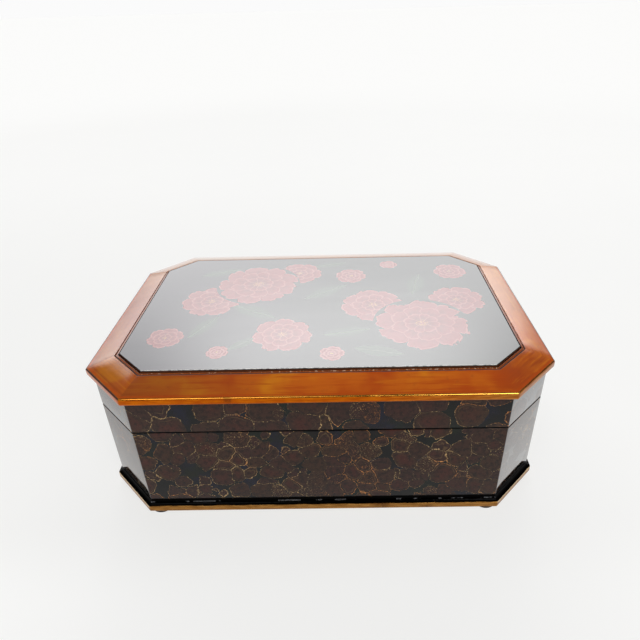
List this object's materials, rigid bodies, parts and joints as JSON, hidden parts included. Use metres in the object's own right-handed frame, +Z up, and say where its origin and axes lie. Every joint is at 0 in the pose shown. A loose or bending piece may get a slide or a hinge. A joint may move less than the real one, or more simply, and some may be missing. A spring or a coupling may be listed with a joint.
{
  "type": "tea ceremony box",
  "caption": "Low octagonal lacquered box on small round feet, with a bevelled lift-off lid that frames a picture panel, and a hanging tray inside.",
  "frame": {"origin": "middle of the box's plan, on the surface that its four feet stand on", "axes": "+X along the length to the right, +Y to the back, +Z up; the front faces -Y"},
  "size_m": [0.356, 0.242, 0.1258],
  "materials": {
    "wall_lacquer": "dark brown cells outlined in gold on near-black, high gloss lacquer",
    "amber_and_gilt": "translucent amber lacquer over wood, gilt edge, high gloss",
    "plinth_black_and_gilt": "black gloss cove over a gilt band",
    "picture_lacquer": "near-black lacquer with a painted red blossom design, high gloss",
    "inside_lacquer": "plain black lacquer, satin gloss",
    "foot_pad": "dark matt pad"
  },
  "bodies": {
    "base": {"foot_front_left": "foot_pad", "foot_front_right": "foot_pad", "foot_back_left": "foot_pad", "foot_back_right": "foot_pad", "plinth_front": "plinth_black_and_gilt", "plinth_front_right": "plinth_black_and_gilt", "plinth_right": "plinth_black_and_gilt", "plinth_back_right": "plinth_black_and_gilt", "plinth_back": "plinth_black_and_gilt", "plinth_back_left": "plinth_black_and_gilt", "plinth_left": "plinth_black_and_gilt", "plinth_front_left": "plinth_black_and_gilt", "bottom_board": "inside_lacquer", "wall_front": "wall_lacquer", "wall_front_right": "wall_lacquer", "wall_right": "wall_lacquer", "wall_back_right": "wall_lacquer", "wall_back": "wall_lacquer", "wall_back_left": "wall_lacquer", "wall_left": "wall_lacquer", "wall_front_left": "wall_lacquer", "liner_front": "inside_lacquer", "liner_front_right": "inside_lacquer", "liner_right": "inside_lacquer", "liner_back_right": "inside_lacquer", "liner_back": "inside_lacquer", "liner_back_left": "inside_lacquer", "liner_left": "inside_lacquer", "liner_front_left": "inside_lacquer"},
    "lid": {"lid_wall_front": "wall_lacquer", "lid_wall_front_right": "wall_lacquer", "lid_wall_right": "wall_lacquer", "lid_wall_back_right": "wall_lacquer", "lid_wall_back": "wall_lacquer", "lid_wall_back_left": "wall_lacquer", "lid_wall_left": "wall_lacquer", "lid_wall_front_left": "wall_lacquer", "frame_front": "amber_and_gilt", "frame_front_right": "amber_and_gilt", "frame_right": "amber_and_gilt", "frame_back_right": "amber_and_gilt", "frame_back": "amber_and_gilt", "frame_back_left": "amber_and_gilt", "frame_left": "amber_and_gilt", "frame_front_left": "amber_and_gilt", "lid_ceiling": "inside_lacquer", "picture_panel": "picture_lacquer"},
    "tray": {"tray_wall_front": "inside_lacquer", "tray_wall_front_right": "inside_lacquer", "tray_wall_right": "inside_lacquer", "tray_wall_back_right": "inside_lacquer", "tray_wall_back": "inside_lacquer", "tray_wall_back_left": "inside_lacquer", "tray_wall_left": "inside_lacquer", "tray_wall_front_left": "inside_lacquer", "tray_floor": "inside_lacquer"}
  },
  "joints": [
    {"name": "lid_lift", "type": "slide", "parent": "base", "child": "lid", "axis": [0, 0, 1], "range_m": [0, 0.16]},
    {"name": "tray_lift", "type": "slide", "parent": "base", "child": "tray", "axis": [0, 0, 1], "range_m": [0, 0.08]}
  ],
  "couplings": [
    {"joint": "tray_lift", "follows": "lid_lift", "ratio": 0.5}
  ]
}
